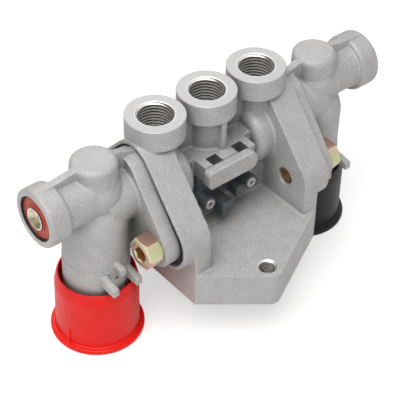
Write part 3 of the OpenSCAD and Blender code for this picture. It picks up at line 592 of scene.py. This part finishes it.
# centre housing
housingNodes = ["centre_housing", "middle_wall", "left_side_wall", "right_side_wall", "mounting_shelf"]
body = joined(*[skinOf(n, "housing_skin") for n in housingNodes])
plugs = []
for i in (-1, 0, 1):
    p = portLook
    plug = lathe("plug", [(0, p["plugLow"]), (p["plugR"], p["plugLow"]), (p["plugR"], p["plugStep"]),
                          (p["faceR"], p["plugStep"]), (p["faceR"], p["plugTop"]), (0, p["plugTop"])])
    plugs.append(place(plug, at(portPitch * i, 0, 0)))
h = shelfHole
plug = lathe("plug", [(0, h["bottom"]), (h["plugR"], h["bottom"]), (h["plugR"], h["top"]), (0, h["top"])])
plugs.append(place(plug, at(h["x"], h["y"], 0)))
for s in (-1, 1):
    w = windowLook
    centre, half = w["x"] * s, w["w"] / 2 + w["plugGap"]
    plugs.append(box("plug", (centre - half, w["y"] - half, w["bottom"]), (centre + half, w["y"] + half, w["top"])))
    for z, r in (crossHoles["air"], crossHoles["pilot"]):
        plug = lathe("plug", [(0, -1), (r, -1), (r, 1), (0, 1)])
        plugs.append(place(plug, alongX(crossHoles["x"] * s, crossHoles["y"], z)))
body = joined(body, *plugs)
castSkin(body, castingLook, lambda p: (np.abs(p[:, 0]) < 38.5) & (p[:, 2] > -75))
paint(body, cast, machined)

cutters = []
for i in (-1, 0, 1):
    p = portLook
    r, e = p["faceR"], p["edge"]
    cutter = lathe("portCutter", [(0, p["cutTop"]), (p["cutR"], p["cutTop"]), (p["cutR"], -(p["cutR"] - r + e)),
                                  (r - e, 0), (p["linerR"], 0), (p["linerR"], -p["depth"]), (p["passageR"], -p["depth"]),
                                  (p["passageR"], p["passageEnd"]), (0, p["passageEnd"])])
    cutters.append(place(cutter, at(portPitch * i, 0, 0)))
h = shelfHole
cutter = lathe("holeCutter", [(0, h["cutLow"]), (h["linerR"], h["cutLow"]), (h["linerR"], h["cutHigh"]),
                              (0, h["cutHigh"])])
cutters.append(place(cutter, at(h["x"], h["y"], 0)))
for s in (-1, 1):
    w = windowLook
    centre, half = w["x"] * s, w["w"] / 2
    cutters.append(box("windowCutter", (centre - half, w["y"] - half, w["bottom"] - w["through"]),
                       (centre + half, w["y"] + half, w["top"] + w["through"])))
# the windows' walls are painted dark as painted shade; the ports' faces are machined
for cutter in cutters:
    paint(cutter, deepCast if cutter.name.startswith("window") else machined)
cut(body, joined(*cutters))
# a fine line behind the bar
seam = box("seam", seamLook["low"], seamLook["high"])
paint(seam, cast)
cut(body, seam)
finishPiece(body, "valve_block", housingNodes)

liner = threadedLiner("port_thread_middle", portLook, 0, portLook["depth"])
for name, x in (("port_thread_left", -portPitch), ("port_thread_right", portPitch)):
    activate(liner)
    bpy.ops.object.duplicate()
    twin = bpy.context.active_object
    twin.name = twin.data.name = name
    finishPiece(place(twin, at(x, 0, 0)), "valve_block")
finishPiece(liner, "valve_block")
liner = threadedLiner("shelf_thread", shelfHole, 0, shelfHole["top"] - shelfHole["bottom"] - 0.05)
finishPiece(place(liner, at(shelfHole["x"], shelfHole["y"], shelfHole["top"])), "valve_block")
print("housing done")

# valve bodies
arm = {
    "floor": 79.9, "r": 9.9, "y": -2, "z": -21.4, "depth": 8.5, "chamfer": 0.25, "cutR": 14.5, "cutEnd": 12,
    "passageR": 6.5, "passageEnd": -5, "plugR": 10.6, "plugLow": -3, "plugTop": 9.2,
}
tube = {
    "x": 59.4, "y": -2, "end": -84.0, "r": 9.0, "top": -13.0, "clip": -82.6, "clipR": 9.8, "clipT": 1, "plugR": 9.6,
    "plugOver": 0.4, "outer": 14, "core": 12, "step": -54.9, "stepOut": 0.25, "stepSlope": (0.3, 0.15),
    "vent": -59.6, "ventR": 0.9, "ventPlugR": 1.2,
}
valveLook = {**castingLook, "faces": 120000}
ribLook = {"outline": [(66, -14), (87.4, -12), (87.4, -8.75), (66, -5.85)], "t": 3.4, "bevel": 0.25}
finLook = {
    "gap": 11.8, "t": 3.0, "reach": 21.85, "low": -61.35, "high": -57.8, "root": 11, "slope": 1.8, "bevel": 0.35,
}
body = skinOf("right_valve_body", "right_valve_skin")
a, t = arm, tube
plugTop = t["top"] + t["plugOver"]
plugs = [
    place(lathe("plug", [(0, t["end"]), (t["plugR"], t["end"]), (t["plugR"], plugTop), (0, plugTop)]),
          at(t["x"], t["y"], 0)),
    place(lathe("plug", [(0, a["plugLow"]), (a["plugR"], a["plugLow"]), (a["plugR"], a["plugTop"]), (0, a["plugTop"])]),
          alongX(a["floor"], a["y"], a["z"])),
    place(lathe("plug", [(0, 8), (t["ventPlugR"], 8), (t["ventPlugR"], 13.9), (0, 13.9)]),
          facingFront(t["x"], t["y"], t["vent"])),
]
body = joined(body, *plugs)


def besideRibs(p):
    # away from the flange's joint face and from the ribs on top
    return (p[:, 0] > 39.5) & ((np.abs(p[:, 1] - tube["y"]) > 4.5) | (p[:, 2] < -14))


castSkin(body, valveLook, besideRibs)
paint(body, cast, machined)
# the tube is a little thicker below a fine step
thick = t["outer"] + t["stepOut"]
inward, upward = t["stepSlope"]
sleeve = lathe("sleeve", [(t["core"], t["end"]), (thick, t["end"]), (thick, t["step"]),
                          (t["outer"] - inward, t["step"] + upward), (t["core"], t["step"] + upward)],
               [0, 0.5, 0.2, 0, 0])
paint(sleeve, cast)
cut(body, place(sleeve, at(t["x"], t["y"], 0)), "UNION")
# the rib on top runs out over the end collar as a crisp wedge
rib = prism("rib", ribLook["outline"], ribLook["t"], -ribLook["t"] / 2)
applyModifier(rib, "BEVEL", width=ribLook["bevel"] * mm, segments=2, limit_method="ANGLE")
paint(rib, cast)
cut(body, place(rib, facingFront(0, t["y"], 0)), "UNION")
# crisp fins over the softened ones
sideways = Matrix(((0, 0, -1), (-1, 0, 0), (0, 1, 0))).to_4x4()
fins = []
for side in (-1, 1):
    f = finLook
    outline = [(f["root"], f["low"]), (f["reach"], f["low"]), (f["reach"], f["high"]),
               (f["root"], f["high"] + f["slope"])]
    fin = prism("fin", outline, f["t"], -f["t"] / 2)
    applyModifier(fin, "BEVEL", width=f["bevel"] * mm, segments=3, limit_method="ANGLE")
    fins.append(place(fin, at(t["x"] + side * f["gap"] / 2, t["y"], 0) @ sideways))
fins = joined(*fins)
paint(fins, cast)
cut(body, fins, "UNION")
below, clipTop = t["end"] - 2, t["clip"] + t["clipT"]
bore = lathe("boreCutter", [(0, below), (t["r"], below), (t["r"], t["clip"]), (t["clipR"], t["clip"]),
                            (t["clipR"], clipTop), (t["r"], clipTop), (t["r"], t["top"]), (0, t["top"])])
outlet = lathe("outletCutter", [(0, a["cutEnd"]), (a["cutR"], a["cutEnd"]), (a["cutR"], a["depth"]),
                                (a["r"] + a["chamfer"], a["depth"]), (a["r"], a["depth"] - a["chamfer"]), (a["r"], 0),
                                (a["passageR"], 0), (a["passageR"], a["passageEnd"]), (0, a["passageEnd"])])
cutter = joined(place(bore, at(t["x"], t["y"], 0)), place(outlet, alongX(a["floor"], a["y"], a["z"])))
paint(cutter, machined)
cut(body, cutter)
# the vent starts inside the bore, so it is cut after it
vent = lathe("vent", [(0, 8), (t["ventR"], 8), (t["ventR"], 20), (0, 20)], segments=32)
paint(vent, machined)
cut(body, place(vent, facingFront(t["x"], t["y"], t["vent"])))
twin = mirrored(body, "left_valve_skin")
finishPiece(body, "valve_block", ["right_valve_body"])
finishPiece(twin, "valve_block", ["left_valve_body"])
print("valve bodies done")


def bothSides(obj, rightName, leftName, body, part, angle=35):
    # finishes a piece of the right side and its mirror image on the left
    obj.name = obj.data.name = rightName
    twin = mirrored(obj, leftName)
    finishPiece(obj, body[0], ["right_" + part], angle)
    finishPiece(twin, body[1], ["left_" + part], angle)
    return obj, twin


fixed = ("valve_block", "valve_block")

# knobs
knobLook = {"bottom": -97.1, "h": 31.6, "r": 17.9, "lipR": 20.2, "lipT": 2.5, "wall": 1.9, "bevelH": 4.9, "bevel": 1.15,
            "floor": 3, "hubR": 7, "hubTop": 12.8, "socketR": 5.03, "socketZ": 5.8, "screwR": 4.5, "screwZ": 3.2,
            "holeR": 2.05, "ribTurns": (-12, 192), "ribT": 1.4, "ribBevel": 0.35}
knobRib = [(17.2, 2.0), (19.9, 2.0), (19.4, 3.2), (18.75, 6.5), (18.35, 10.2), (17.2, 10.9)]


def knobShape():
    k = knobLook
    inner = k["r"] - k["wall"]
    # radius, height and rounding of each corner
    profile = [
        (k["screwR"], 0, 0.3), (k["lipR"], 0, 0.9), (k["lipR"], k["lipT"], 1.0), (k["r"] + 0.15, k["lipT"], 0.9),
        (k["r"], k["h"] - k["bevelH"], 0.5), (k["r"] - k["bevel"], k["h"], 0.5), (inner, k["h"], 0.4),
        (inner - 0.4, k["floor"], 1.6), (k["hubR"] + 0.2, k["floor"], 1.2), (k["hubR"], k["hubTop"], 0.4),
        (k["socketR"], k["hubTop"], 0.3), (k["socketR"], k["socketZ"], 0.2), (k["holeR"], k["socketZ"], 0.1),
        (k["holeR"], k["screwZ"], 0.1), (k["screwR"], k["screwZ"], 0.2)]
    knob = lathe("knob", [p[:2] for p in profile], [p[2] for p in profile], 192, 6)
    for turn in k["ribTurns"]:
        rib = prism("rib", knobRib, k["ribT"], -k["ribT"] / 2)
        applyModifier(rib, "BEVEL", width=k["ribBevel"] * mm, segments=3, limit_method="ANGLE")
        place(rib, Matrix.Rotation(math.radians(turn), 4, "Z") @ Matrix.Rotation(math.pi / 2, 4, "X"))
        cut(knob, rib, "UNION")
    return place(knob, at(tube["x"], tube["y"], k["bottom"]))


knob = knobShape()
paint(knob, blackPlastic)
knobs = bothSides(knob, "black_knob_cup", "red_knob_cup", ("black_knob", "red_knob"),
                  "knob")
paint(knobs[1], redPlastic)
print("knobs done")

# flange bolts
boltLook = {
    "flats": 13, "h": 7, "chamfer": 1.1, "bevel": 0.22, "recess": 6.4, "depth": 4, "shaftR": 4, "shaftEnd": -19,
    "x": 46, "z": -45.2, "frontY": -23.3, "rearY": 19.3,
}


def hexagon(reach):
    angles = [math.radians(60 * i + 30) for i in range(6)]
    return [(reach * math.cos(angle), reach * math.sin(angle)) for angle in angles]


def boltShape(y):
    b = boltLook
    corner = b["flats"] / math.sqrt(3)
    head = prism("bolt", hexagon(corner), b["h"])
    turned = lathe("turned", [(0, 0), (b["flats"] / 2 - 0.1, 0), (corner - 0.35, 0.7), (corner + 0.2, 1.4),
                              (corner + 0.2, b["h"] - b["chamfer"]), (b["flats"] / 2 - 0.55, b["h"]), (0, b["h"])],
                   segments=128)
    cut(head, turned, "INTERSECT")
    applyModifier(head, "BEVEL", width=b["bevel"] * mm, segments=2, limit_method="ANGLE", angle_limit=math.radians(25))
    paint(head, boltZinc, boltSocket)
    reach = b["recess"] / math.sqrt(3)
    socket = prism("socket", hexagon(reach), b["depth"] + 1, b["h"] - b["depth"])
    paint(socket, boltSocket)
    cut(head, socket)
    mouth = lathe("mouth", [(0, b["h"] + 1), (reach + 1.1, b["h"] + 1), (reach + 0.1, b["h"]),
                            (reach - 0.5, b["h"] - 0.6), (0, b["h"] - 0.6)], segments=64)
    paint(mouth, boltZinc)
    cut(head, mouth)
    r, end = b["shaftR"], b["shaftEnd"]
    shaft = lathe("shaft", [(0, end), (r - 0.7, end), (r, end + 0.7), (r, 0.1), (0, 0.1)], segments=64)
    # the shaft's end takes the painted shade of the wall hole
    paint(shaft, holeShadeZinc)
    return place(joined(head, shaft), alongX(b["x"], y, b["z"]))


bolts = joined(boltShape(boltLook["frontY"]), boltShape(boltLook["rearY"]))
bothSides(bolts, "right_bolts", "left_bolts", fixed, "flange_bolts", 30)
print("bolts done")

# outlet flap, rivet and ring
outletLook = {"flapX": 84.7, "ringX": 87.0, "rimFrom": 3.25}
flap = lathe("flap", [(2.52, 0), (9.5, 0), (9.5, 2.2), (5.6, 2.2), (5.5, 2.9), (4.55, 2.9), (3.0, 1.3), (2.52, 1.1)],
             [0, 0.2, 0.5, 0.25, 0.25, 0.1, 0, 0], 128)
place(flap, alongX(outletLook["flapX"], arm["y"], arm["z"]))
paint(flap, flapRubber)
bothSides(flap, "right_flap", "left_flap", fixed, "outlet_flap")
rivet = lathe("rivet", [(1.8, -5.6), (3.4, -5.6), (3.4, -4.8), (2.5, -4.8), (2.5, 1.25), (4.45, 3.05), (4.75, 3.35),
                        (4.75, 3.6), (4.35, 3.68), (2.6, 1.7), (1.7, 1.4), (1.7, 0.9), (0, 0.8), (0, -0.2), (1.6, -0.3)],
              [0, 0.2, 0.2, 0, 0.3, 0.15, 0.1, 0.1, 0.2, 0.4, 0.2, 0.1, 0, 0, 0.1], 96)
paint(rivet, cupZinc, rimHighlightZinc)
# faces of the rim take the painted highlight
for face in rivet.data.polygons:
    if face.center.z > outletLook["rimFrom"] * mm:
        face.material_index = 1
place(rivet, alongX(outletLook["flapX"], arm["y"], arm["z"]))
bothSides(rivet, "right_rivet", "left_rivet", fixed, "outlet_rivet")
ring = lathe("ring", [(9.28, 0), (9.88, 0), (9.88, 0.9), (9.28, 0.9)], [0.15, 0.1, 0.1, 0.25], 128)
place(ring, alongX(outletLook["ringX"], arm["y"], arm["z"]))
paint(ring, blackSteel)
bothSides(ring, "right_ring", "left_ring", fixed, "outlet_ring")
print("outlets done")

# plastic insert
insertLook = {"voxel": 0.2, "edgeRounds": 3, "filletReach": 0.6, "filletRounds": 8, "faces": 60000}
insert = skinOf("clip_insert", "insert_skin")
castSkin(insert, insertLook, lambda p: np.ones(len(p), bool))
paint(insert, insertPlastic)
finishPiece(insert, "valve_block", ["clip_insert"])
bushLook = {"r": 2.4, "holeR": 1.0, "length": 7, "x": 11.5, "y": -18.4, "z": -44.5}
for s, name in ((-1, "bush_left"), (1, "bush_right")):
    b = bushLook
    bush = lathe(name, [(b["holeR"], 0), (b["r"], 0), (b["r"], b["length"]), (b["holeR"], b["length"])],
                 [0.25, 0.3, 0, 0], 64)
    place(bush, at(b["x"] * s, b["y"], b["z"]) @ Matrix.Rotation(-math.pi / 2, 4, "X"))
    bush.name = bush.data.name = name
    paint(bush, bushMetal)
    finishPiece(bush, "valve_block", ["insert_bushes"])
print("insert done")


# stage, light and camera

stageLook = {
    "size": 6, "gap": 0.0002, "paper": (0.93, 0.93, 0.93, 1), "rough": 0.9, "glow": 1.72, "lift": 0.3, "fill": 0.13,
}
deselectAll()
bpy.ops.mesh.primitive_plane_add(size=stageLook["size"], location=(0, 0, cadLow.z - stageLook["gap"]))
floor = bpy.context.active_object
floor.name = "floor"
floorMaterial, tree, shader = newMaterial("floorPaper")
shader.inputs["Base Color"].default_value = stageLook["paper"]
shader.inputs["Roughness"].default_value = stageLook["rough"]
# seen by the camera the paper is lifted to white, and its shadows stay
glow = tree.nodes.new("ShaderNodeEmission")
glow.inputs["Strength"].default_value = stageLook["glow"]
lift = tree.nodes.new("ShaderNodeMixShader")
ray = tree.nodes.new("ShaderNodeLightPath")
tree.links.new(math2(tree, "MULTIPLY", ray.outputs["Is Camera Ray"], stageLook["lift"]), lift.inputs[0])
tree.links.new(shader.outputs["BSDF"], lift.inputs[1])
tree.links.new(glow.outputs["Emission"], lift.inputs[2])
tree.links.new(lift.outputs["Shader"], tree.nodes["Material Output"].inputs["Surface"])
paint(floor, floorMaterial)

world = bpy.data.worlds.new("studio")
bpy.context.scene.world = world
world.use_nodes = True
tree = world.node_tree
tree.nodes.clear()
out = tree.nodes.new("ShaderNodeOutputWorld")
path = tree.nodes.new("ShaderNodeLightPath")


def sky(color, strength):
    node = tree.nodes.new("ShaderNodeBackground")
    if isinstance(color, tuple):
        node.inputs["Color"].default_value = (*color, 1)
    else:
        tree.links.new(color, node.inputs["Color"])
    node.inputs["Strength"].default_value = strength
    return node.outputs[0]


def either(factor, first, second):
    node = tree.nodes.new("ShaderNodeMixShader")
    for socket, value in zip(node.inputs, (factor, first, second)):
        tree.links.new(value, socket)
    return node.outputs[0]


# metals mirror a studio that is pale overhead and dim at the sides
height = tree.nodes.new("ShaderNodeSeparateXYZ")
tree.links.new(tree.nodes.new("ShaderNodeTexCoord").outputs["Generated"], height.inputs[0])
studio = ramp(tree, ranged(tree, height.outputs[2], 0, 1, -1, 1), [
    (0.30, (0.75, 0.75, 0.75)), (0.50, (0.16, 0.16, 0.165)), (0.72, (0.36, 0.36, 0.37)), (0.92, (0.95, 0.95, 0.95))])
light = either(path.outputs["Is Glossy Ray"], sky((0.92, 0.95, 1.0), stageLook["fill"]), sky(studio, 1.0))
tree.links.new(either(path.outputs["Is Camera Ray"], light, sky((1, 1, 1), 1.0)), out.inputs[0])


def softBox(name, where, size, power, color=(1, 1, 1), target=(0, 0, -0.04)):
    data = bpy.data.lights.new(name, "AREA")
    data.shape = "RECTANGLE"
    data.size, data.size_y = size
    data.energy = power
    data.color = color
    lamp = bpy.data.objects.new(name, data)
    bpy.context.scene.collection.objects.link(lamp)
    lamp.location = where
    lamp.rotation_euler = (Vector(target) - Vector(where)).to_track_quat("-Z", "Y").to_euler()


softBox("keyLight", (-0.38, -0.26, 0.84), (0.9, 0.9), 11.4, (1, 0.99, 0.975))
softBox("sideLight", (0.75, -0.45, 0.45), (0.5, 0.7), 0.5)
softBox("backLight", (0.35, 0.7, 0.6), (0.8, 0.4), 2.4)

# the camera stands where the photo's did; its focal length is in pixels of the photo's width
shotLook = {
    "focal": 1443.66, "photoWidth": 400, "sensor": 36, "place": (-0.3123, -0.3553, 0.3570),
    "right": (0.7677, -0.6402, 0.0267), "up": (0.4088, 0.5215, 0.7489), "forward": (0.4934, 0.564, -0.6621),
}
shot = bpy.data.cameras.new("camera")
shot.sensor_width = shotLook["sensor"]
shot.lens = shotLook["focal"] / shotLook["photoWidth"] * shotLook["sensor"]
shot.clip_start, shot.clip_end = 0.05, 20
camera = bpy.data.objects.new("camera", shot)
bpy.context.scene.collection.objects.link(camera)
turn = Matrix((shotLook["right"], shotLook["up"], -Vector(shotLook["forward"]))).transposed().to_4x4()
camera.matrix_world = Matrix.Translation(shotLook["place"]) @ turn
bpy.context.scene.camera = camera
bpy.context.scene.view_settings.view_transform = "Standard"
